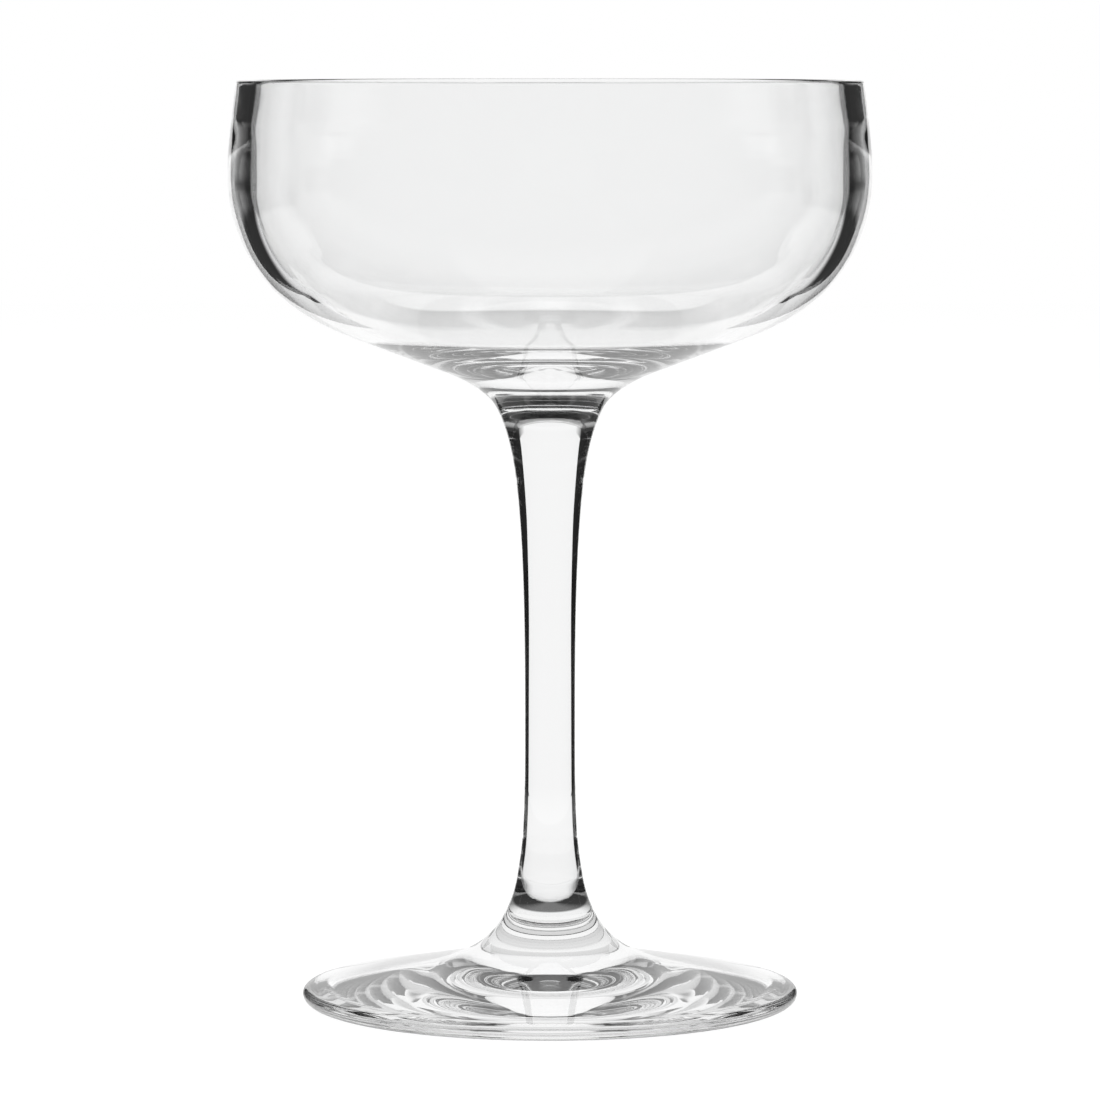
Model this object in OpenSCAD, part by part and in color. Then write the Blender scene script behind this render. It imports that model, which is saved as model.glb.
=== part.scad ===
// A stemmed coupe glass in clear glass: a broad shallow bowl, a slim waisted stem and a
// low cone-shaped foot. Every piece is turned about the Z axis. The origin is the centre
// of the ring that the foot stands on, with +Z up. Heights inside a piece are measured
// from the bottom of that piece.

/* [Foot] */
// Diameter of the foot at its widest
foot_d = 77.6; // [73:0.1:84]
// Height of the foot's widest line above the table
foot_edge_h = 1.6; // [1.2:0.1:1.9]
// How far the standing ring's outer edge lies inside the foot's widest line
foot_flat_inset = 2.1; // [1.4:0.1:3]
// How far the outer edge of the sloping face lies inside the foot's widest line
foot_face_inset = 0.8; // [0.5:0.1:1.2]
// Height of the sloping face at its outer edge
foot_face_h = 2.6; // [2.2:0.1:3]
// Diameter at which the sloping face turns up into the flare
flare_d = 36.2; // [32:0.1:40]
// Height at which the sloping face turns up into the flare
flare_h = 6.5; // [5.6:0.1:7.2]
// Height of the foot, up to the seam with the stem
foot_h = 14.4; // [13:0.1:16]
// Diameter of the seam between foot and stem
foot_seam_d = 13.8; // [13:0.1:14.6]
// Width of the flat ring that the foot stands on
ring_w = 2.2; // [1.2:0.1:4]
// Depth of the domed hollow under the foot, at its centre
hollow_depth = 1.6; // [1.2:0.1:2.2]

/* [Stem] */
// Length of the stem, from the foot's seam to the bowl's seam
stem_h = 79.1; // [70:0.1:88]
// Diameter of the stem at its waist
waist_d = 7.9; // [7:0.1:8.8]
// Height of the waist above the foot's seam
waist_h = 26.4; // [22:0.1:32]
// Diameter of the stem where the flare of the foot ends
root_d = 10.2; // [9.6:0.1:10.8]
// Height above the foot's seam at which that flare ends
root_h = 5.8; // [5:0.1:6.6]
// Diameter of the stem where the flare under the bowl begins
neck_d = 11; // [10:0.1:11.6]
// Length of the flare under the bowl, down from the bowl's seam
neck_len = 9.9; // [9:0.1:11]
// Diameter of the seam between stem and bowl
bowl_seam_d = 16.7; // [15.8:0.1:17.8]

/* [Bowl] */
// Height of the bowl, from its seam to the rim
bowl_h = 50.8; // [48:0.1:56]
// Diameter of the bowl at its widest
bowl_d = 100; // [96:0.1:106]
// Height of the bowl's widest line above its seam
belly_h = 36.1; // [33.6:0.1:38.6]
// How far the rim draws in from the bowl's widest line
rim_inset = 1.25; // [0.5:0.05:2.2]
// Diameter at which the bowl's underside turns straight
under_in_d = 32.6; // [30:0.1:36]
// Height above the seam at which the underside turns straight
under_in_h = 5.5; // [5:0.1:6]
// Diameter at which the straight underside ends
under_out_d = 62.2; // [58:0.1:66]
// Height above the seam at which the straight underside ends
under_out_h = 11.1; // [10.6:0.1:11.8]
// Thickness of the wall at the bowl's widest line
belly_wall = 3.45; // [2.8:0.05:3.9]
// Thickness of the wall at the rim
rim_wall = 3.15; // [2.6:0.05:3.6]
// Size of the rounding on both edges of the rim
rim_round = 0.6; // [0.3:0.05:0.9]
// Thickness of the wall where the side turns into the floor
shoulder_wall = 3.3; // [2.7:0.05:3.8]
// Height of the floor's lowest point, at its centre, above the seam
floor_h = 9.1; // [8:0.1:10.4]
// Height of the widest line inside the bowl above the seam
cavity_belly_h = 35.1; // [33:0.1:38]

/* [Hidden] */

// Straight stretches that stand in for one curve
curve_steps = 14;
// Sides of a full turn
$fn = 180;

// Colour of the clear glass
glass_colour = [0.86, 0.9, 0.91, 0.45];

// Slopes of the outline in degrees up from level, walking outwards and up
foot_seam_slope = 115.8;
root_slope = 98.6;
neck_slope = 82.4;
bowl_seam_slope = 62;
rim_slope = 96.4;
cavity_rim_slope = 97;
ring_slope = 9.5;
foot_face_slope = 180 - atan((flare_h - foot_face_h) / ((foot_d - flare_d) / 2 - foot_face_inset));
under_slope = atan((under_out_h - under_in_h) / ((under_out_d - under_in_d) / 2));

// How far each end of a curve holds its direction, as shares of the distance between them
foot_rim_shares = [0.4, 0.4];
foot_edge_shares = [0.3, 0.3];
hollow_shares = [0.17, 0.2];
flare_shares = [0.38, 0.375];
root_shares = [0.325, 0.36];
lower_stem_shares = [0.22, 0.7];
upper_stem_shares = [0.33, 0.28];
neck_shares = [0.315, 0.305];
under_shares = [0.26, 0.37];
shoulder_shares = [0.507, 0.283];
side_shares = [0.337, 0.61];
rim_shares = [0.4, 0.4];
cavity_side_shares = [0.54, 0.7];
cavity_shoulder_shares = [0.325, 0.333];
floor_shares = [0.37, 0.27];

// Where along the outer shoulder the side of the hollow ends and its floor begins
floor_edge_share = 0.31;

// Unit step in a direction, in degrees from the +X axis
function step(dir) = [cos(dir), sin(dir)];

// Ends and handles of a smooth curve that leaves a and reaches b in the given directions
function handles(a, a_dir, b, b_dir, shares) =
    let (reach = norm(b - a))
    [a, a + reach * shares[0] * step(a_dir), b - reach * shares[1] * step(b_dir), b];

// Point at share t of the way along a curve
function point_at(h, t) =
    let (s = 1 - t)
    s * s * s * h[0] + 3 * s * s * t * h[1] + 3 * s * t * t * h[2] + t * t * t * h[3];

// Direction of a curve at share t of the way along it
function direction_at(h, t) =
    let (
        s = 1 - t,
        run = s * s * (h[1] - h[0]) + 2 * s * t * (h[2] - h[1]) + t * t * (h[3] - h[2])
    )
    atan2(run[1], run[0]);

// Points of a smooth curve from a to b, without its first point
function curve(a, a_dir, b, b_dir, shares) =
    let (h = handles(a, a_dir, b, b_dir, shares))
    [for (i = [1:curve_steps]) point_at(h, i / curve_steps)];

// Outline of the foot: domed hollow, standing ring, rounded edge, face and flare
function foot_outline() =
    let (
        hollow_top = [0, hollow_depth],
        ring_out = [foot_d / 2 - foot_flat_inset, 0],
        ring_in = ring_out - [ring_w, 0],
        edge = [foot_d / 2, foot_edge_h],
        face = [foot_d / 2 - foot_face_inset, foot_face_h],
        flare = [flare_d / 2, flare_h],
        seam = [foot_seam_d / 2, foot_h]
    )
    concat(
        [hollow_top],
        curve(hollow_top, 0, ring_in, -ring_slope, hollow_shares),
        [ring_out],
        curve(ring_out, 0, edge, 90, foot_rim_shares),
        curve(edge, 90, face, foot_face_slope, foot_edge_shares),
        [flare],
        curve(flare, foot_face_slope, seam, foot_seam_slope, flare_shares),
        [[0, foot_h]]
    );

// Outline of the stem: end of the foot's flare, waisted shaft and flare under the bowl
function stem_outline() =
    let (
        bottom = [foot_seam_d / 2, 0],
        root = [root_d / 2, root_h],
        waist = [waist_d / 2, waist_h],
        neck = [neck_d / 2, stem_h - neck_len],
        top = [bowl_seam_d / 2, stem_h]
    )
    concat(
        [[0, 0], bottom],
        curve(bottom, foot_seam_slope, root, root_slope, root_shares),
        curve(root, root_slope, waist, 90, lower_stem_shares),
        curve(waist, 90, neck, neck_slope, upper_stem_shares),
        curve(neck, neck_slope, top, bowl_seam_slope, neck_shares),
        [[0, stem_h]]
    );

// Outline of the bowl: underside and side, over the rounded rim, and back down the inside
function bowl_outline() =
    let (
        seam = [bowl_seam_d / 2, 0],
        under_in = [under_in_d / 2, under_in_h],
        under_out = [under_out_d / 2, under_out_h],
        belly = [bowl_d / 2, belly_h],
        rim_out = [bowl_d / 2 - rim_inset, bowl_h - rim_round],
        rim_top_out = [rim_out[0] - rim_round, bowl_h],
        rim_in = [rim_out[0] - rim_wall, bowl_h - rim_round],
        rim_top_in = [rim_in[0] + rim_round, bowl_h],
        cavity_belly = [bowl_d / 2 - belly_wall, cavity_belly_h],
        shoulder = handles(under_out, under_slope, belly, 90, shoulder_shares),
        turn_slope = direction_at(shoulder, floor_edge_share),
        turn = point_at(shoulder, floor_edge_share) + shoulder_wall * step(turn_slope + 90),
        floor_mid = [0, floor_h]
    )
    concat(
        [[0, 0], seam],
        curve(seam, bowl_seam_slope, under_in, under_slope, under_shares),
        [under_out],
        curve(under_out, under_slope, belly, 90, shoulder_shares),
        curve(belly, 90, rim_out, rim_slope, side_shares),
        curve(rim_out, rim_slope, rim_top_out, 180, rim_shares),
        [rim_top_in],
        curve(rim_top_in, 180, rim_in, 180 + cavity_rim_slope, rim_shares),
        curve(rim_in, cavity_rim_slope - 180, cavity_belly, -90, cavity_side_shares),
        curve(cavity_belly, -90, turn, turn_slope - 180, cavity_shoulder_shares),
        curve(turn, turn_slope - 180, floor_mid, -180, floor_shares)
    );

// Solid foot disc with its cone-shaped face, standing ring and the flare that meets the stem
module foot() {
    color(glass_colour)
        rotate_extrude()
            polygon(foot_outline());
}

// Solid waisted stem that stands on the foot's seam
module stem() {
    color(glass_colour)
        translate([0, 0, foot_h])
            rotate_extrude()
                polygon(stem_outline());
}

// Open bowl with a dished floor that stands on the stem
module bowl() {
    color(glass_colour)
        translate([0, 0, foot_h + stem_h])
            rotate_extrude()
                polygon(bowl_outline());
}

bowl();
stem();
foot();
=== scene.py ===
"""A stemmed coupe glass in clear glass, shown on a plain white studio table.

The three pieces, bowl, stem and foot, are turned about the Z axis from outlines given in
metres. Their glass runs through the two seams without a break, as it does in fused
stemware. The stage holds the white table, the white card and the dark flags behind the
glass that draw its bright body and dark edges, the surroundings, one lamp and the camera.
"""

import math

import bpy
from bpy.props import FloatProperty, FloatVectorProperty, IntProperty, PointerProperty
from bpy.types import Operator, Panel, PropertyGroup
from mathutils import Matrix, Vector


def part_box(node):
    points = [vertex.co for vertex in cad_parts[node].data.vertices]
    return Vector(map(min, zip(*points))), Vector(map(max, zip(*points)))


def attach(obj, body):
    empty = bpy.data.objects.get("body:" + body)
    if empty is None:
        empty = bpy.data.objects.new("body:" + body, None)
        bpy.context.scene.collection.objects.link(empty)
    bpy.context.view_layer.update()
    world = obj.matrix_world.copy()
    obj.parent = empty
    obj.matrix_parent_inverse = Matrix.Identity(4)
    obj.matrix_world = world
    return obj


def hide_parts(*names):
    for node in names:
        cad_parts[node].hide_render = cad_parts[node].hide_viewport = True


bl_info = {
    "name": "Coupe Glass",
    "version": (1, 0, 0),
    "blender": (4, 5, 0),
    "location": "View3D > Sidebar > Coupe Glass",
    "description": "Builds a stemmed coupe glass and the white table it is shown on",
    "category": "Object",
}

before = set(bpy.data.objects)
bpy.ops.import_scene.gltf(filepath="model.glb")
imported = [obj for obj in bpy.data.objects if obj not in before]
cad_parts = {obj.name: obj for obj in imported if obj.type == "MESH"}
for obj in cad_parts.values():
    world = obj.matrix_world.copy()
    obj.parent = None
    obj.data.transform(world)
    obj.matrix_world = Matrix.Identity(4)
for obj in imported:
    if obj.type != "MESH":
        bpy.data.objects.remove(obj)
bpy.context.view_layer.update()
BOWL_LOW, BOWL_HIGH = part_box("bowl")
STEM_LOW, STEM_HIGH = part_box("stem")
FOOT_LOW, FOOT_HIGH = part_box("foot")

MM = 0.001

# Slopes of the outlines in degrees up from level, walking outwards and up
FOOT_SEAM_SLOPE = 115.8
ROOT_SLOPE = 98.6
NECK_SLOPE = 82.4
BOWL_SEAM_SLOPE = 62
RIM_SLOPE = 96.4
CAVITY_RIM_SLOPE = 97
RING_SLOPE = 9.5

# How far each end of a curve holds its direction, as shares of the distance between them
FOOT_RIM_SHARES = (0.4, 0.4)
FOOT_EDGE_SHARES = (0.3, 0.3)
HOLLOW_SHARES = (0.17, 0.2)
FLARE_SHARES = (0.38, 0.375)
ROOT_SHARES = (0.325, 0.36)
LOWER_STEM_SHARES = (0.22, 0.7)
UPPER_STEM_SHARES = (0.33, 0.28)
NECK_SHARES = (0.315, 0.305)
UNDER_SHARES = (0.26, 0.37)
SHOULDER_SHARES = (0.507, 0.283)
SIDE_SHARES = (0.337, 0.61)
RIM_SHARES = (0.4, 0.4)
CAVITY_SIDE_SHARES = (0.54, 0.7)
CAVITY_SHOULDER_SHARES = (0.325, 0.333)
FLOOR_SHARES = (0.37, 0.27)

# Where along the outer shoulder the side of the hollow ends and its floor begins
FLOOR_EDGE_SHARE = 0.31

# A point nearer to the axis than this is the outline's end, and becomes a single corner
ON_AXIS = 1e-9
# Faces that meet at more than this angle keep a crisp edge between them
CRISP_ANGLE = math.radians(25)

# Right edge of the white card, from the table up, as distance across and height
CARD_SIDE = [
    (0.155, 0.012), (0.148, 0.027), (0.132, 0.046), (0.122, 0.065), (0.1125, 0.079),
    (0.109, 0.098), (0.106, 0.117), (0.102, 0.137),
]
# Right dark flag: its lower corner, the line where it begins to fade, and the rest of it
FLAG_CORNER = [(0.109, 0.012), (0.1095, 0.012)]
FLAG_EDGE = [
    (0.108, 0.044), (0.114, 0.052), (0.122, 0.057), (0.132, 0.061), (0.142, 0.068),
    (0.152, 0.076), (0.162, 0.084),
]
FLAG_REST = [
    (0.18, 0.078), (0.18, 0.17), (0.088, 0.17), (0.088, 0.142), (0.102, 0.136), (0.102, 0.1),
    (0.0945, 0.09), (0.0945, 0.05), (0.0978, 0.037), (0.1, 0.03),
]
# How far below its line the flag has faded out, and where across the fade begins
FLAG_FADE = 0.022
FLAG_FADE_FROM = 0.104
# Upper corners of the right low flag, which stands on the table
LOW_FLAG = [(0.18, 0.024), (0.1035, 0.008)]
# How far the flags stand in front of the white card
FLAG_GAP = 0.001

# The line across the white card where its painted shade begins, seen through both walls of the
# bowl: its height in the middle, and how much it rises with the square of the distance
SHADE_HEIGHT = 0.064
SHADE_RISE = 9.5
# Light that is lost in both walls of the bowl, made up for by painted light on the card
WALLS_GAIN = 1.04

# Colour of the table's paper, under the light that it gives off
TABLE_PAPER = (0.3, 0.3, 0.3, 1)

# Grey levels of the surroundings, as the glass shows them. The greys by and under the foot are
# painted shadow on the table, and the dark levels are painted shade on the table, the card and
# the flags; the darkest also darkens the room.
WHITE = 1.0
TABLE_WHITE = 0.97
BY_FOOT_SHADE = 0.74
ROOM_GREY = 0.55
UNDER_FOOT_SHADOW = 0.3
FRONT_DARK = 0.05
AXIS_DARK = 0.04
SHEEN_DARK = 0.03
RING_DARK = 0.03
LED_DARK = 0.02
SIDE_DARK = 0.015
ROOM_DARK = 0.012

# Spans of the values that the ramps work on: angles in degrees, the rest in metres
ANGLE = (0, 90)
HEIGHT_ANGLE = (-90, 90)
NEAR = (0, 0.1)
FAR = (0, 1)
ALONG = (-1, 1)
CARD = (0, 0.2)
SHARE = (0, 1)

# Sides of the round table
TABLE_SIDES = 96

# The photograph's frame, and the camera's sensor and the distances it sees between
PHOTO_SIDE_PX = 1100
SENSOR_MM = 36
NEAREST_SEEN = 0.01
FARTHEST_SEEN = 50


def length(name, description, default):
    """A size in metres for a property group."""
    return FloatProperty(
        name=name, description=description, default=default, min=0, unit="LENGTH", precision=5
    )


def tone(name, description, default):
    """A colour for a property group."""
    return FloatVectorProperty(
        name=name, description=description, default=default, subtype="COLOR", size=3, min=0, max=1
    )


class CoupeFootSizes(PropertyGroup):
    """Sizes of the foot."""

    diameter: length("Diameter", "Diameter of the foot at its widest", FOOT_HIGH.x - FOOT_LOW.x)
    height: length("Height", "Height of the foot up to the stem", FOOT_HIGH.z)
    edge_height: length("Edge height", "Height of the widest line above the table", 1.6 * MM)
    flat_inset: length("Flat inset", "How far the standing ring lies inside the edge", 2.1 * MM)
    face_inset: length("Face inset", "How far the sloping face lies inside the edge", 0.8 * MM)
    face_height: length("Face height", "Height where the sloping face begins", 2.6 * MM)
    flare_diameter: length("Flare diameter", "Diameter where the flare begins", 36.2 * MM)
    flare_height: length("Flare height", "Height where the flare begins", 6.5 * MM)
    seam_diameter: length("Seam diameter", "Diameter where the foot meets the stem", 13.8 * MM)
    ring_width: length("Ring width", "Width of the flat standing ring", 2.2 * MM)
    hollow_depth: length("Hollow depth", "Depth of the domed hollow at its centre", 1.6 * MM)


class CoupeStemSizes(PropertyGroup):
    """Sizes of the stem."""

    height: length("Height", "Length between the two seams", STEM_HIGH.z - STEM_LOW.z)
    waist_diameter: length("Waist diameter", "Diameter at the waist", 7.9 * MM)
    waist_height: length("Waist height", "Height of the waist above the foot", 26.4 * MM)
    root_diameter: length("Root diameter", "Diameter where the foot's flare ends", 10.2 * MM)
    root_height: length("Root height", "Height where the foot's flare ends", 5.8 * MM)
    neck_diameter: length("Neck diameter", "Diameter where the upper flare begins", 11 * MM)
    neck_length: length("Neck length", "Length of the flare under the bowl", 9.9 * MM)
    seam_diameter: length("Seam diameter", "Diameter where the stem meets the bowl", 16.7 * MM)


class CoupeBowlSizes(PropertyGroup):
    """Sizes of the bowl."""

    diameter: length("Diameter", "Diameter at the widest line", BOWL_HIGH.x - BOWL_LOW.x)
    height: length("Height", "Height from the seam to the rim", BOWL_HIGH.z - BOWL_LOW.z)
    belly_height: length("Belly height", "Height of the widest line above the seam", 36.1 * MM)
    rim_inset: length("Rim inset", "How far the rim draws in from the widest line", 1.25 * MM)
    under_in_diameter: length("Underside start", "Diameter where it turns straight", 32.6 * MM)
    under_in_height: length("Underside start height", "Height of that place", 5.5 * MM)
    under_out_diameter: length("Underside end", "Diameter where it stops", 62.2 * MM)
    under_out_height: length("Underside end height", "Height of that place", 11.1 * MM)
    belly_wall: length("Belly wall", "Wall thickness at the widest line", 3.45 * MM)
    rim_wall: length("Rim wall", "Wall thickness at the rim", 3.15 * MM)
    rim_round: length("Rim rounding", "Rounding of both edges of the rim", 0.6 * MM)
    shoulder_wall: length("Shoulder wall", "Wall thickness where the floor begins", 3.3 * MM)
    floor_height: length("Floor height", "Height of the floor's centre above the seam", 9.1 * MM)
    cavity_belly_height: length("Inner belly height", "Height of the widest inside", 35.1 * MM)


class CoupeGlassFinish(PropertyGroup):
    """Finish of the clear glass."""

    tint: tone("Tint", "Colour of the glass", (0.995, 0.997, 0.997))
    lamp_tint: tone("Lamp tint", "Colour of lamp light that passed a wall", (0.92, 0.93, 0.93))
    ior: FloatProperty(name="IOR", description="How strongly the glass bends light", default=1.52)
    sides: IntProperty(name="Sides", description="Faces round each piece", default=288, min=48)
    steps: IntProperty(name="Steps", description="Faces along each curve", default=28, min=6)


class CoupeStudio(PropertyGroup):
    """The table, the cards, the lamp and the camera."""

    camera_distance: length("Camera distance", "Distance from the glass's axis", 0.915)
    camera_height: length("Camera height", "Height above the table", 0.1501)
    camera_pitch: FloatProperty(
        name="Camera pitch",
        description="How far the camera looks down",
        default=math.radians(4.931),
        subtype="ANGLE",
    )
    focal_px: FloatProperty(
        name="Focal length",
        description="Focal length in pixels of the photograph's frame",
        default=5881,
        subtype="PIXEL",
    )
    table_radius: length("Table radius", "Radius of the round white table", 2.5)
    table_drop: length("Table drop", "Hairline of air between the foot and the table", 0.02 * MM)
    table_glow: FloatProperty(
        name="Table glow", description="Light that the table gives off", default=0.82, min=0
    )
    card_distance: length("Card distance", "Distance of the white card behind the glass", 0.145)
    card_height: length("Card height", "Height of the white card behind the glass", 0.19)
    sheen_width: length("Sheen width", "Width of the card mirrored by the outside", 0.206)
    lamp_height: length("Lamp height", "Height of the round lamp above the table", 1.5)
    lamp_size: length("Lamp size", "Diameter of the round lamp", 0.9)
    lamp_power: FloatProperty(
        name="Lamp power", description="Power of the lamp", default=12, min=0, unit="POWER"
    )
    light_bounces: IntProperty(
        name="Light bounces",
        description="How often light may turn inside the glass",
        default=40,
        min=1,
    )


def beside(point, direction, distance):
    """The point at a distance from another, in a direction in degrees from the +X axis."""
    turn = math.radians(direction)
    return (point[0] + distance * math.cos(turn), point[1] + distance * math.sin(turn))


def handles(a, a_dir, b, b_dir, shares):
    """Ends and handles of a smooth curve that leaves a and reaches b in given directions."""
    reach = math.dist(a, b)
    return (a, beside(a, a_dir, reach * shares[0]), beside(b, b_dir, -reach * shares[1]), b)


def point_at(four, t):
    """Point at share t of the way along a curve."""
    s = 1 - t
    weights = (s * s * s, 3 * s * s * t, 3 * s * t * t, t * t * t)
    return tuple(sum(w * p[k] for w, p in zip(weights, four)) for k in (0, 1))


def direction_at(four, t):
    """Direction of a curve, in degrees, at share t of the way along it."""
    s = 1 - t
    weights = (s * s, 2 * s * t, t * t)
    run = [sum(w * (q[k] - p[k]) for w, p, q in zip(weights, four, four[1:])) for k in (0, 1)]
    return math.degrees(math.atan2(run[1], run[0]))


def curve(a, a_dir, b, b_dir, shares, steps):
    """Points of a smooth curve from a to b, without its first point."""
    four = handles(a, a_dir, b, b_dir, shares)
    return [point_at(four, i / steps) for i in range(1, steps + 1)]


def line(a, b, steps):
    """Points of a straight stretch from a to b, without its first point."""
    return [
        (a[0] + (b[0] - a[0]) * i / steps, a[1] + (b[1] - a[1]) * i / steps)
        for i in range(1, steps + 1)
    ]


def slope(a, b):
    """Slope in degrees of the straight stretch between two points."""
    return math.degrees(math.atan((b[1] - a[1]) / (b[0] - a[0])))


def ring_of(radius, height, sides):
    """Corners of a level ring about the Z axis."""
    turns = [2 * math.pi * i / sides for i in range(sides)]
    return [(radius * math.cos(turn), radius * math.sin(turn), height) for turn in turns]


def new_object(name, verts, faces, materials):
    """A mesh object in the scene."""
    mesh = bpy.data.meshes.new(name)
    mesh.from_pydata(verts, [], faces)
    for material in materials:
        mesh.materials.append(material)
    thing = bpy.data.objects.new(name, mesh)
    bpy.context.scene.collection.objects.link(thing)
    return thing


def turned_piece(name, start, stretches, sides, materials):
    """A closed solid turned about Z. stretches holds (points, material index) in order."""
    outline, slots = [start], []
    for points, slot in stretches:
        outline += points
        slots += [slot] * len(points)
    verts, rings = [], []
    for radius, height in outline:
        if radius < ON_AXIS:
            rings.append([len(verts)] * sides)
            verts.append((0, 0, height))
        else:
            rings.append(list(range(len(verts), len(verts) + sides)))
            verts += ring_of(radius, height, sides)
    faces, face_slots = [], []
    for low, high, slot in zip(rings, rings[1:], slots):
        for i in range(sides):
            j = (i + 1) % sides
            corners = [low[i], low[j], high[j], high[i]]
            faces.append([c for k, c in enumerate(corners) if c != corners[k - 1]])
            face_slots.append(slot)
    piece = new_object(name, verts, faces, materials)
    mesh = piece.data
    mesh.polygons.foreach_set("material_index", face_slots)
    mesh.shade_smooth()
    mesh.set_sharp_from_angle(angle=CRISP_ANGLE)
    mesh.update()
    return piece


def place_piece(piece, node):
    """Makes the piece stand for its solid and ride with the glass."""
    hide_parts(node)
    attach(piece, "root")


def new_material(name):
    """A material and its node tree, emptied."""
    material = bpy.data.materials.new(name)
    material.use_nodes = True
    material.node_tree.nodes.clear()
    return material, material.node_tree


def put_out(tree, shader):
    """Makes the shader the material's surface."""
    out = tree.nodes.new("ShaderNodeOutputMaterial")
    tree.links.new(shader, out.inputs["Surface"])


def mix_shaders(tree, factor, first, second):
    """The first shader where the factor is 0, the second where it is 1."""
    mix = tree.nodes.new("ShaderNodeMixShader")
    for socket, value in zip(mix.inputs, (factor, first, second)):
        tree.links.new(value, socket)
    return mix.outputs[0]


def clear_glass(name, finish):
    """Clear polished glass that lets lamps shine through it."""
    material, tree = new_material(name)
    glass = tree.nodes.new("ShaderNodeBsdfPrincipled")
    glass.inputs["Base Color"].default_value = (*finish.tint, 1)
    glass.inputs["Roughness"].default_value = 0
    glass.inputs["IOR"].default_value = finish.ior
    glass.inputs["Transmission Weight"].default_value = 1
    lamp_light = tree.nodes.new("ShaderNodeBsdfTransparent")
    lamp_light.inputs["Color"].default_value = (*finish.lamp_tint, 1)
    shadow = tree.nodes.new("ShaderNodeLightPath").outputs["Is Shadow Ray"]
    put_out(tree, mix_shaders(tree, shadow, glass.outputs[0], lamp_light.outputs[0]))
    return material


def fused_seam(name):
    """Passes all light straight on, because the glass has no surface at a fused seam."""
    material, tree = new_material(name)
    put_out(tree, tree.nodes.new("ShaderNodeBsdfTransparent").outputs[0])
    return material


class COUPE_OT_foot(Operator):
    """Turn the foot: hollow underside, standing ring, sloping face and flare"""

    bl_idname = "coupe.foot"
    bl_label = "Foot"

    def execute(self, context):
        size, finish = context.scene.coupe_foot, context.scene.coupe_finish
        steps = finish.steps
        hollow_top = (0, size.hollow_depth)
        ring_out = (size.diameter / 2 - size.flat_inset, 0)
        ring_in = (ring_out[0] - size.ring_width, 0)
        edge = (size.diameter / 2, size.edge_height)
        face = (size.diameter / 2 - size.face_inset, size.face_height)
        flare = (size.flare_diameter / 2, size.flare_height)
        seam = (size.seam_diameter / 2, size.height)
        face_slope = 180 + slope(flare, face)
        surface = curve(hollow_top, 0, ring_in, -RING_SLOPE, HOLLOW_SHARES, steps)
        surface += line(ring_in, ring_out, steps // 4)
        surface += curve(ring_out, 0, edge, 90, FOOT_RIM_SHARES, steps // 2)
        surface += curve(edge, 90, face, face_slope, FOOT_EDGE_SHARES, steps // 2)
        surface += line(face, flare, steps)
        surface += curve(flare, face_slope, seam, FOOT_SEAM_SLOPE, FLARE_SHARES, steps)
        materials = [clear_glass("foot_clear_glass", finish), fused_seam("foot_fused_seam")]
        stretches = [(surface, 0), ([(0, size.height)], 1)]
        foot = turned_piece("foot_disc", hollow_top, stretches, finish.sides, materials)
        place_piece(foot, "foot")
        return {"FINISHED"}


class COUPE_OT_stem(Operator):
    """Turn the solid waisted stem with a flare at each end"""

    bl_idname = "coupe.stem"
    bl_label = "Stem"

    def execute(self, context):
        size, finish = context.scene.coupe_stem, context.scene.coupe_finish
        steps = finish.steps
        base = STEM_LOW.z
        bottom = (context.scene.coupe_foot.seam_diameter / 2, base)
        root = (size.root_diameter / 2, base + size.root_height)
        waist = (size.waist_diameter / 2, base + size.waist_height)
        neck = (size.neck_diameter / 2, base + size.height - size.neck_length)
        top = (size.seam_diameter / 2, base + size.height)
        surface = curve(bottom, FOOT_SEAM_SLOPE, root, ROOT_SLOPE, ROOT_SHARES, steps)
        surface += curve(root, ROOT_SLOPE, waist, 90, LOWER_STEM_SHARES, steps)
        surface += curve(waist, 90, neck, NECK_SLOPE, UPPER_STEM_SHARES, steps)
        surface += curve(neck, NECK_SLOPE, top, BOWL_SEAM_SLOPE, NECK_SHARES, steps)
        materials = [clear_glass("stem_clear_glass", finish), fused_seam("stem_fused_seam")]
        stretches = [([bottom], 1), (surface, 0), ([(0, top[1])], 1)]
        stem = turned_piece("stem_shaft", (0, base), stretches, finish.sides, materials)
        place_piece(stem, "stem")
        return {"FINISHED"}


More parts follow.
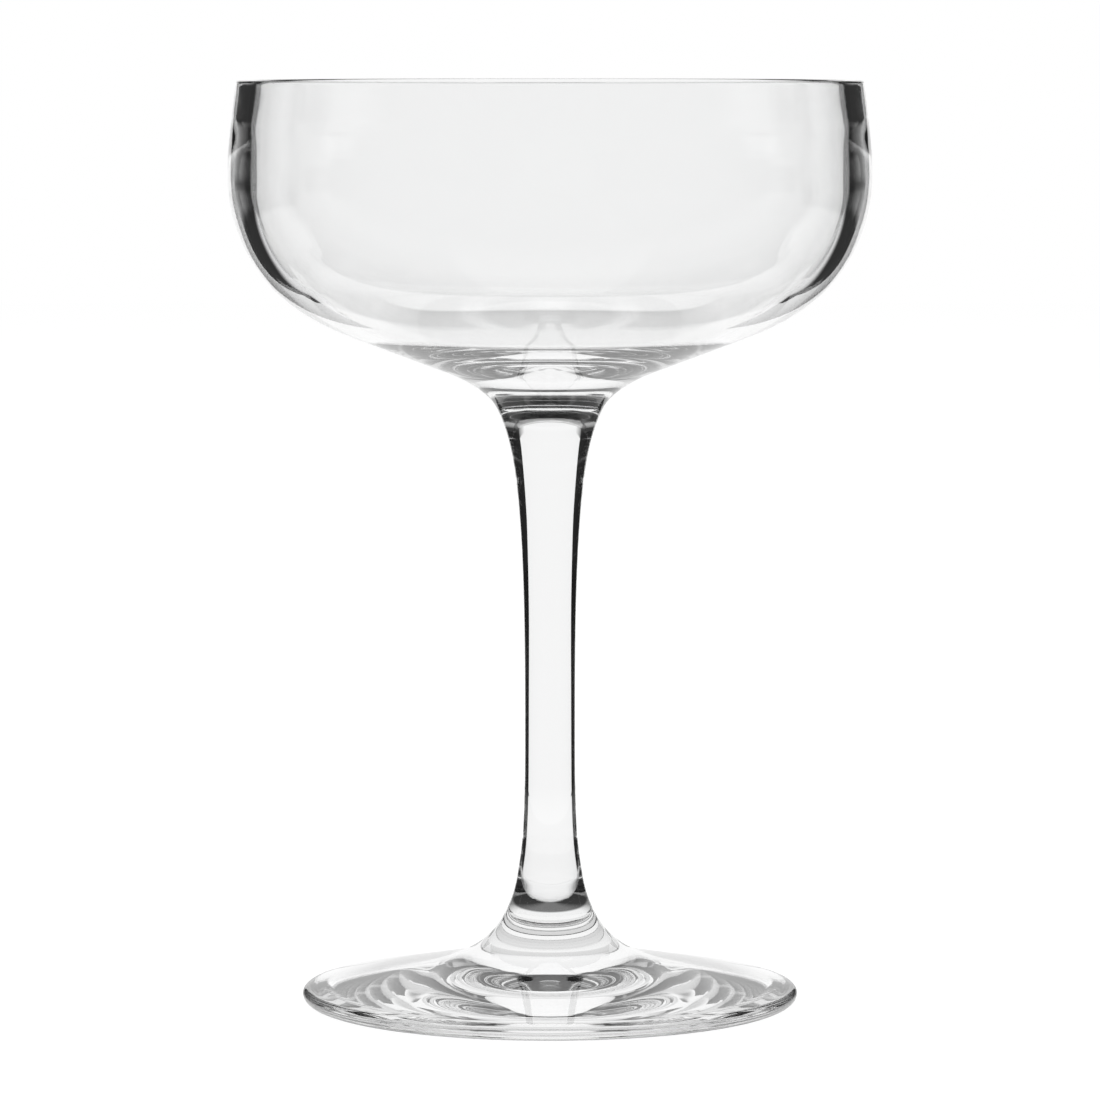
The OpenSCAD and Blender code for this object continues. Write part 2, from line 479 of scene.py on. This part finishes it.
class COUPE_OT_bowl(Operator):
    """Turn the open bowl with its thick base and rounded rim"""

    bl_idname = "coupe.bowl"
    bl_label = "Bowl"

    def execute(self, context):
        size, finish = context.scene.coupe_bowl, context.scene.coupe_finish
        steps = finish.steps
        base = BOWL_LOW.z
        rim = base + size.height
        rim_radius = size.diameter / 2 - size.rim_inset
        seam = (context.scene.coupe_stem.seam_diameter / 2, base)
        under_in = (size.under_in_diameter / 2, base + size.under_in_height)
        under_out = (size.under_out_diameter / 2, base + size.under_out_height)
        belly = (size.diameter / 2, base + size.belly_height)
        rim_out = (rim_radius, rim - size.rim_round)
        rim_top_out = (rim_radius - size.rim_round, rim)
        rim_top_in = (rim_radius - size.rim_wall + size.rim_round, rim)
        rim_in = (rim_radius - size.rim_wall, rim - size.rim_round)
        cavity = (size.diameter / 2 - size.belly_wall, base + size.cavity_belly_height)
        floor_mid = (0, base + size.floor_height)
        under_slope = slope(under_in, under_out)
        shoulder = handles(under_out, under_slope, belly, 90, SHOULDER_SHARES)
        turn_slope = direction_at(shoulder, FLOOR_EDGE_SHARE)
        turn = beside(point_at(shoulder, FLOOR_EDGE_SHARE), turn_slope + 90, size.shoulder_wall)
        surface = curve(seam, BOWL_SEAM_SLOPE, under_in, under_slope, UNDER_SHARES, steps)
        surface += line(under_in, under_out, steps // 2)
        surface += curve(under_out, under_slope, belly, 90, SHOULDER_SHARES, steps * 2)
        surface += curve(belly, 90, rim_out, RIM_SLOPE, SIDE_SHARES, steps)
        surface += curve(rim_out, RIM_SLOPE, rim_top_out, 180, RIM_SHARES, steps // 3)
        surface += line(rim_top_out, rim_top_in, steps // 4)
        surface += curve(rim_top_in, 180, rim_in, 180 + CAVITY_RIM_SLOPE, RIM_SHARES, steps // 3)
        surface += curve(rim_in, CAVITY_RIM_SLOPE - 180, cavity, -90, CAVITY_SIDE_SHARES, steps)
        surface += curve(cavity, -90, turn, turn_slope - 180, CAVITY_SHOULDER_SHARES, steps)
        surface += curve(turn, turn_slope - 180, floor_mid, -180, FLOOR_SHARES, steps * 2)
        materials = [clear_glass("bowl_clear_glass", finish), fused_seam("bowl_fused_seam")]
        stretches = [([seam], 1), (surface, 0)]
        bowl = turned_piece("bowl_cup", (0, base), stretches, finish.sides, materials)
        place_piece(bowl, "bowl")
        return {"FINISHED"}


def calc(tree, operation, *values):
    """A Math node; each value is a socket or a number."""
    node = tree.nodes.new("ShaderNodeMath")
    node.operation = operation
    for socket, value in zip(node.inputs, values):
        if isinstance(value, (int, float)):
            socket.default_value = value
        else:
            tree.links.new(value, socket)
    return node.outputs[0]


def product(tree, first, *others):
    """The product of one or more masks."""
    for other in others:
        first = calc(tree, "MULTIPLY", first, other)
    return first


def ramp(tree, value, span, *stops):
    """Grey level by value, from (place, level) stops inside the span."""
    low, high = span
    share_of = tree.nodes.new("ShaderNodeMapRange")
    share_of.inputs["From Min"].default_value = low
    share_of.inputs["From Max"].default_value = high
    tree.links.new(value, share_of.inputs["Value"])
    node = tree.nodes.new("ShaderNodeValToRGB")
    node.color_ramp.interpolation = "LINEAR"
    elements = node.color_ramp.elements
    while len(elements) > 1:
        elements.remove(elements[-1])
    for k, (place, level) in enumerate(stops):
        share = (place - low) / (high - low)
        element = elements[0] if k == 0 else elements.new(share)
        element.position = share
        element.color = (level, level, level, 1)
    tree.links.new(share_of.outputs["Result"], node.inputs["Fac"])
    return node.outputs["Color"]


def rises(tree, value, span, start, end):
    """0 up to the start, 1 from the end on."""
    return ramp(tree, value, span, (start, 0), (end, 1))


def falls(tree, value, span, start, end):
    """1 up to the start, 0 from the end on."""
    return ramp(tree, value, span, (start, 1), (end, 0))


def blend(tree, factor, first, second):
    """The first colour, or level, where the factor is 0, and the second where it is 1."""
    node = tree.nodes.new("ShaderNodeMix")
    node.data_type = "RGBA"
    for name, value in (("A", first), ("B", second)):
        socket = next(s for s in node.inputs if s.name == name and s.type == "RGBA")
        if isinstance(value, (int, float)):
            socket.default_value = (value, value, value, 1)
        else:
            tree.links.new(value, socket)
    factor_in = next(s for s in node.inputs if s.name == "Factor" and s.type == "VALUE")
    tree.links.new(factor, factor_in)
    return next(s for s in node.outputs if s.type == "RGBA")


def lay_over(tree, colour, level, *masks):
    """The colour, with a level over it where all the masks are 1."""
    return blend(tree, product(tree, *masks), colour, level)


def light_path(tree, name):
    """One output of a Light Path node."""
    return tree.nodes.new("ShaderNodeLightPath").outputs[name]


def seen_in_glass(tree):
    """1 where a ray reaches the stage by reflection or through the glass."""
    glossy = light_path(tree, "Is Glossy Ray")
    return calc(tree, "MAXIMUM", glossy, light_path(tree, "Is Transmission Ray"))


def mirrored(tree, times=1):
    """1 where a ray has been mirrored by the glass at least so many times."""
    return calc(tree, "GREATER_THAN", light_path(tree, "Glossy Depth"), times - 0.5)


def passed(tree, times):
    """1 where a ray has passed at least so many surfaces of the glass."""
    return calc(tree, "GREATER_THAN", light_path(tree, "Transmission Depth"), times - 0.5)


def reverse(tree, mask):
    """1 where a mask is 0, and 0 where it is 1."""
    return calc(tree, "SUBTRACT", 1, mask)


def sheen(tree):
    """1 where a ray has been mirrored by the glass's outside and never entered the glass."""
    return product(tree, mirrored(tree), reverse(tree, passed(tree, 1)))


def parts_of(tree, vector):
    """X, Y and Z of a vector."""
    parts = tree.nodes.new("ShaderNodeSeparateXYZ")
    tree.links.new(vector, parts.inputs[0])
    return [parts.outputs[axis] for axis in "XYZ"]


def surface_place(tree):
    """Where on the surface a ray arrives."""
    return tree.nodes.new("ShaderNodeNewGeometry").outputs["Position"]


def facing(tree):
    """0 where a ray meets the surface squarely, up to 1 where it only grazes it."""
    return tree.nodes.new("ShaderNodeLayerWeight").outputs["Facing"]


def heading(tree, x, y):
    """Angle in degrees between the photograph's line of sight and a direction, 0 to 90."""
    across = calc(tree, "ABSOLUTE", x)
    along = calc(tree, "ABSOLUTE", y)
    return calc(tree, "DEGREES", calc(tree, "ARCTAN2", across, along))


def emission(tree, colour=None, strength=1.0):
    """A shader that gives off a colour; the strength is a socket or a number."""
    glow = tree.nodes.new("ShaderNodeEmission")
    if colour is not None:
        tree.links.new(colour, glow.inputs["Color"])
    if isinstance(strength, (int, float)):
        glow.inputs["Strength"].default_value = strength
    else:
        tree.links.new(strength, glow.inputs["Strength"])
    return glow.outputs[0]


def build_world(world):
    """White behind the object; dark surroundings with bright sides seen only in the glass."""
    world.use_nodes = True
    tree = world.node_tree
    tree.nodes.clear()
    x, y, z = parts_of(tree, tree.nodes.new("ShaderNodeTexCoord").outputs["Generated"])
    angle = heading(tree, x, y)
    height = calc(tree, "DEGREES", calc(tree, "ARCSINE", z))
    behind = ramp(tree, angle, ANGLE, (0, 0.03), (74, ROOM_DARK), (78, WHITE))
    in_front = ramp(tree, angle, ANGLE, (33, 0.9), (37, 0.02), (74, 0.02), (78, WHITE))
    colour = blend(tree, calc(tree, "LESS_THAN", y, 0), behind, in_front)
    colour = lay_over(tree, colour, ROOM_DARK, rises(tree, height, HEIGHT_ANGLE, 36, 44))
    not_behind = falls(tree, y, ALONG, 0.18, 0.28)
    colour = lay_over(tree, colour, ROOM_DARK, mirrored(tree), not_behind)
    colour = blend(tree, seen_in_glass(tree), ROOM_GREY, colour)
    colour = lay_over(tree, colour, WHITE, light_path(tree, "Is Camera Ray"))
    back = tree.nodes.new("ShaderNodeBackground")
    back.inputs["Strength"].default_value = 1
    tree.links.new(colour, back.inputs["Color"])
    out = tree.nodes.new("ShaderNodeOutputWorld")
    tree.links.new(back.outputs[0], out.inputs["Surface"])


def table_in_glass(tree):
    """Levels of the table as the glass shows it: white, with painted shadow and painted shade in
    zones about the foot.
    """
    place = surface_place(tree)
    x, y, _ = parts_of(tree, place)
    angle = heading(tree, x, y)
    reach = tree.nodes.new("ShaderNodeVectorMath")
    reach.operation = "LENGTH"
    tree.links.new(place, reach.inputs[0])
    distance = reach.outputs["Value"]
    once, twice, three_times = (mirrored(tree, times) for times in (1, 2, 3))
    off_outside = sheen(tree)

    # Painted shadow under the foot and close beside it
    by_foot = falls(tree, distance, NEAR, 0.043, 0.047)
    colour = blend(tree, product(tree, by_foot, twice), TABLE_WHITE, BY_FOOT_SHADE)
    at_sides = rises(tree, angle, ANGLE, 17, 36)
    under_foot = falls(tree, distance, NEAR, 0.029, 0.036)
    colour = lay_over(tree, colour, UNDER_FOOT_SHADOW, at_sides, under_foot)
    under_stem = falls(tree, distance, NEAR, 0.0098, 0.0112)
    stem_shadow_levels = ramp(tree, angle, ANGLE, (15, 0.2), (40, 0.05), (90, 0.04))
    colour = lay_over(tree, colour, stem_shadow_levels, under_stem)

    # Painted shade out to the left and right of the foot
    far_round = rises(tree, angle, ANGLE, 40, 43)
    outside = rises(tree, distance, FAR, 0.042, 0.046)
    outside_levels = ramp(tree, distance, FAR, (0.13, 0.45), (0.16, 0.52))
    colour = lay_over(tree, colour, outside_levels, far_round, outside, once)
    beyond = rises(tree, angle, ANGLE, 46.5, 48.5)
    side_zone = ramp(tree, distance, FAR, (0.044, 0), (0.048, 1), (0.205, 1), (0.215, 0))
    colour = lay_over(tree, colour, SIDE_DARK, beyond, side_zone, reverse(tree, once))
    off_centre = rises(tree, angle, ANGLE, 22, 26)
    distant = rises(tree, distance, FAR, 0.16, 0.2)
    colour = lay_over(tree, colour, SHEEN_DARK, off_centre, distant, off_outside)

    # Painted shade far away, where only rays that graze the table arrive
    between = ramp(tree, angle, ANGLE, (15, 0), (18, 1), (74, 1), (77, 0))
    grazing = rises(tree, facing(tree), SHARE, 0.79, 0.82)
    far_mirrored = product(tree, calc(tree, "GREATER_THAN", distance, 0.12), once)
    away = calc(tree, "MAXIMUM", far_mirrored, calc(tree, "GREATER_THAN", distance, 0.2))
    away = calc(tree, "MAXIMUM", away, calc(tree, "SUBTRACT", once, off_outside))
    colour = lay_over(tree, colour, ROOM_DARK, between, grazing, away)

    # Painted shade towards the camera
    front = falls(tree, y, ALONG, -0.16, -0.08)
    colour = lay_over(tree, colour, FRONT_DARK, once, front)
    front = falls(tree, y, ALONG, -0.03, -0.01)
    colour = lay_over(tree, colour, SHEEN_DARK, off_outside, front)

    # Painted shade in rings under the foot, which show in the root of the stem and in the foot's
    # flare
    near_axis = falls(tree, distance, NEAR, 0.014, 0.017)
    sideways = rises(tree, angle, ANGLE, 12, 20)
    colour = lay_over(tree, colour, AXIS_DARK, near_axis, sideways, twice)
    under_face = ramp(tree, distance, NEAR, (0.018, 0), (0.021, 1), (0.033, 1), (0.036, 0))
    sideways = rises(tree, angle, ANGLE, 49, 52)
    return lay_over(tree, colour, RING_DARK, under_face, sideways, three_times)


def table_material(glow):
    """White table that keeps the glass's soft shadow, and shows painted shadow and painted shade
    about the foot in the glass.
    """
    material, tree = new_material("white_table")
    paper = tree.nodes.new("ShaderNodeBsdfDiffuse")
    paper.inputs["Color"].default_value = TABLE_PAPER
    both = tree.nodes.new("ShaderNodeAddShader")
    tree.links.new(paper.outputs[0], both.inputs[0])
    tree.links.new(emission(tree, strength=glow), both.inputs[1])
    in_glass = emission(tree, table_in_glass(tree))
    put_out(tree, mix_shaders(tree, seen_in_glass(tree), both.outputs[0], in_glass))
    return material


def card_material(sheen_half):
    """White card that fades at its top corners and is dark for light led along the wall, with a
    painted dark reflection at its sides and a painted shade and painted light seen through both
    walls of the bowl.
    """
    material, tree = new_material("white_card")
    x, _, z = parts_of(tree, surface_place(tree))
    across = calc(tree, "ABSOLUTE", x)
    corner = ramp(
        tree, across, CARD, (0.07, 1), (0.08, 0.72), (0.092, 0.45), (0.1, 0.25), (0.12, 0.1)
    )
    colour = blend(tree, rises(tree, z, CARD, 0.149, 0.153), WHITE, corner)
    # A painted dark reflection: the card's outer parts are dark where only the glass's outside
    # mirrors them
    sheen_edge = ramp(tree, z, CARD, (0.085, 0.072), (0.1, sheen_half))
    outer = calc(tree, "GREATER_THAN", across, sheen_edge)
    colour = lay_over(tree, colour, SHEEN_DARK, outer, sheen(tree))
    # Painted shade where light led along the wall by the glass reaches the card
    high = rises(tree, z, CARD, 0.084, 0.088)
    wide = rises(tree, across, CARD, 0.03, 0.04)
    square = calc(tree, "LESS_THAN", facing(tree), 0.1)
    colour = lay_over(tree, colour, LED_DARK, mirrored(tree, 3), high, wide, square)

    # Seen straight through both walls of the bowl: painted light, and in the middle a painted
    # shade that is darkest at its line
    walls = product(tree, passed(tree, 4), reverse(tree, mirrored(tree)))
    rise = product(tree, across, across, SHADE_RISE)
    below = calc(tree, "SUBTRACT", calc(tree, "ADD", rise, SHADE_HEIGHT), z)
    shade = ramp(
        tree, below, (-0.01, 0.04), (-0.0008, 1), (0.0004, 0.62), (0.003, 0.72), (0.008, 0.8),
        (0.016, 0.87), (0.025, 0.93), (0.032, 1),
    )
    middle = falls(tree, across, CARD, 0.028, 0.045)
    level = calc(tree, "MULTIPLY", blend(tree, middle, WHITE, shade), WALLS_GAIN)
    gain = product(tree, walls, calc(tree, "SUBTRACT", level, 1))
    put_out(tree, emission(tree, colour, calc(tree, "ADD", 1, gain)))
    return material


def flag_material():
    """Dark flag with a soft grey band, seen only by rays that the glass has mirrored."""
    material, tree = new_material("dark_flag")
    x, _, z = parts_of(tree, surface_place(tree))
    across = calc(tree, "ABSOLUTE", x)
    band = ramp(tree, z, CARD, (0.096, 0), (0.106, 1), (0.124, 1), (0.138, 0))
    dark = ramp(tree, across, CARD, (0.09, 0.06), (0.12, 0.03))
    soft = ramp(
        tree, across, CARD, (0.102, 0.85), (0.108, 0.6), (0.118, 0.34), (0.13, 0.2), (0.16, 0.02)
    )
    edge = ramp(tree, across, CARD, (FLAG_FADE_FROM, 0.033), *FLAG_EDGE, (0.18, 0.1))
    below = calc(tree, "SUBTRACT", edge, z)
    outer = calc(tree, "GREATER_THAN", across, FLAG_FADE_FROM)
    fading = product(tree, calc(tree, "GREATER_THAN", below, 0), outer)
    faded = ramp(
        tree, below, (0, 0.05), (0, 0.05), (0.005, 0.22), (0.012, 0.7), (0.016, 0.87),
        (FLAG_FADE, 0.95),
    )
    colour = blend(tree, fading, blend(tree, band, dark, soft), faded)
    # A painted dark reflection where only the glass's outside mirrors the flag
    colour = lay_over(tree, colour, SHEEN_DARK, sheen(tree))
    clear = tree.nodes.new("ShaderNodeBsdfTransparent").outputs[0]
    put_out(tree, mix_shaders(tree, mirrored(tree), clear, emission(tree, colour)))
    return material


def upright_card(name, depth, outline, material):
    """A card behind the glass, seen only in the glass. The outline is (across, height)."""
    corners = [(x, depth, z) for x, z in outline]
    card = new_object(name, corners, [list(range(len(outline)))], [material])
    card.visible_camera = False
    card.visible_diffuse = False
    card.visible_shadow = False


def on_left(outline):
    """The mirror image of an outline on the right."""
    return [(-x, z) for x, z in reversed(outline)]


def add_cards(studio):
    """The white card behind the glass, and a dark flag and a low flag on each side of it."""
    table = -studio.table_drop
    depth = studio.card_distance
    side = [(CARD_SIDE[0][0], table), *CARD_SIDE, (CARD_SIDE[-1][0], studio.card_height)]
    material = card_material(studio.sheen_width / 2)
    upright_card("white_card", depth, side + on_left(side), material)
    lower_edge = [(x, z - FLAG_FADE) for x, z in FLAG_EDGE]
    (low_out, _), (low_in, _) = LOW_FLAG
    flags = {
        "dark_flag": [*FLAG_CORNER, *lower_edge, *FLAG_REST],
        "low_flag": [(low_in, table), (low_out, table), *LOW_FLAG],
    }
    material = flag_material()
    for name, outline in flags.items():
        upright_card(name + "_right", depth - FLAG_GAP, outline, material)
        upright_card(name + "_left", depth - FLAG_GAP, on_left(outline), material)


def add_table(studio):
    """The round white table."""
    ring = ring_of(studio.table_radius, -studio.table_drop, TABLE_SIDES)
    material = table_material(studio.table_glow)
    table = new_object("table", ring, [list(range(TABLE_SIDES))], [material])


def add_lamp(studio, collection):
    """The round lamp overhead, which doesn't show in the glass."""
    data = bpy.data.lights.new("overhead_softbox", "AREA")
    data.shape = "DISK"
    data.size = studio.lamp_size
    data.energy = studio.lamp_power
    lamp = bpy.data.objects.new("overhead_softbox", data)
    lamp.location = (0, 0, studio.lamp_height)
    lamp.visible_glossy = False
    lamp.visible_transmission = False
    collection.objects.link(lamp)


def add_camera(studio, scene):
    """The camera at the photograph's viewing angle."""
    data = bpy.data.cameras.new("photo_camera")
    data.sensor_width = SENSOR_MM
    data.lens = studio.focal_px / PHOTO_SIDE_PX * SENSOR_MM
    data.clip_start = NEAREST_SEEN
    data.clip_end = FARTHEST_SEEN
    camera = bpy.data.objects.new("photo_camera", data)
    camera.location = (0, -studio.camera_distance, studio.camera_height)
    camera.rotation_euler = (math.pi / 2 - studio.camera_pitch, 0, 0)
    scene.collection.objects.link(camera)
    scene.camera = camera


class COUPE_OT_stage(Operator):
    """Set up the white table, the cards, the surroundings, the lamp and the camera"""

    bl_idname = "coupe.stage"
    bl_label = "Stage"

    def execute(self, context):
        scene = context.scene
        studio = scene.coupe_studio
        add_cards(studio)
        add_table(studio)
        scene.world = bpy.data.worlds.new("studio")
        build_world(scene.world)
        add_lamp(studio, scene.collection)
        add_camera(studio, scene)
        scene.view_settings.view_transform = "Standard"
        scene.cycles.max_bounces = studio.light_bounces
        scene.cycles.glossy_bounces = studio.light_bounces
        scene.cycles.transmission_bounces = studio.light_bounces
        return {"FINISHED"}


class COUPE_PT_panel(Panel):
    """Lists the steps that build the coupe glass"""

    bl_idname = "COUPE_PT_panel"
    bl_label = "Coupe Glass"
    bl_space_type = "VIEW_3D"
    bl_region_type = "UI"
    bl_category = "Coupe Glass"

    def draw(self, context):
        for operator in OPERATORS:
            self.layout.operator(operator.bl_idname)


GROUPS = {
    "coupe_foot": CoupeFootSizes,
    "coupe_stem": CoupeStemSizes,
    "coupe_bowl": CoupeBowlSizes,
    "coupe_finish": CoupeGlassFinish,
    "coupe_studio": CoupeStudio,
}
OPERATORS = (COUPE_OT_foot, COUPE_OT_stem, COUPE_OT_bowl, COUPE_OT_stage)
CLASSES = (*GROUPS.values(), *OPERATORS, COUPE_PT_panel)


def register():
    for cls in CLASSES:
        bpy.utils.register_class(cls)
    for name, group in GROUPS.items():
        setattr(bpy.types.Scene, name, PointerProperty(type=group))


def unregister():
    for name in GROUPS:
        delattr(bpy.types.Scene, name)
    for cls in reversed(CLASSES):
        bpy.utils.unregister_class(cls)


def main():
    register()
    bpy.ops.coupe.foot()
    bpy.ops.coupe.stem()
    bpy.ops.coupe.bowl()
    bpy.ops.coupe.stage()


if __name__ == "__main__":
    main()
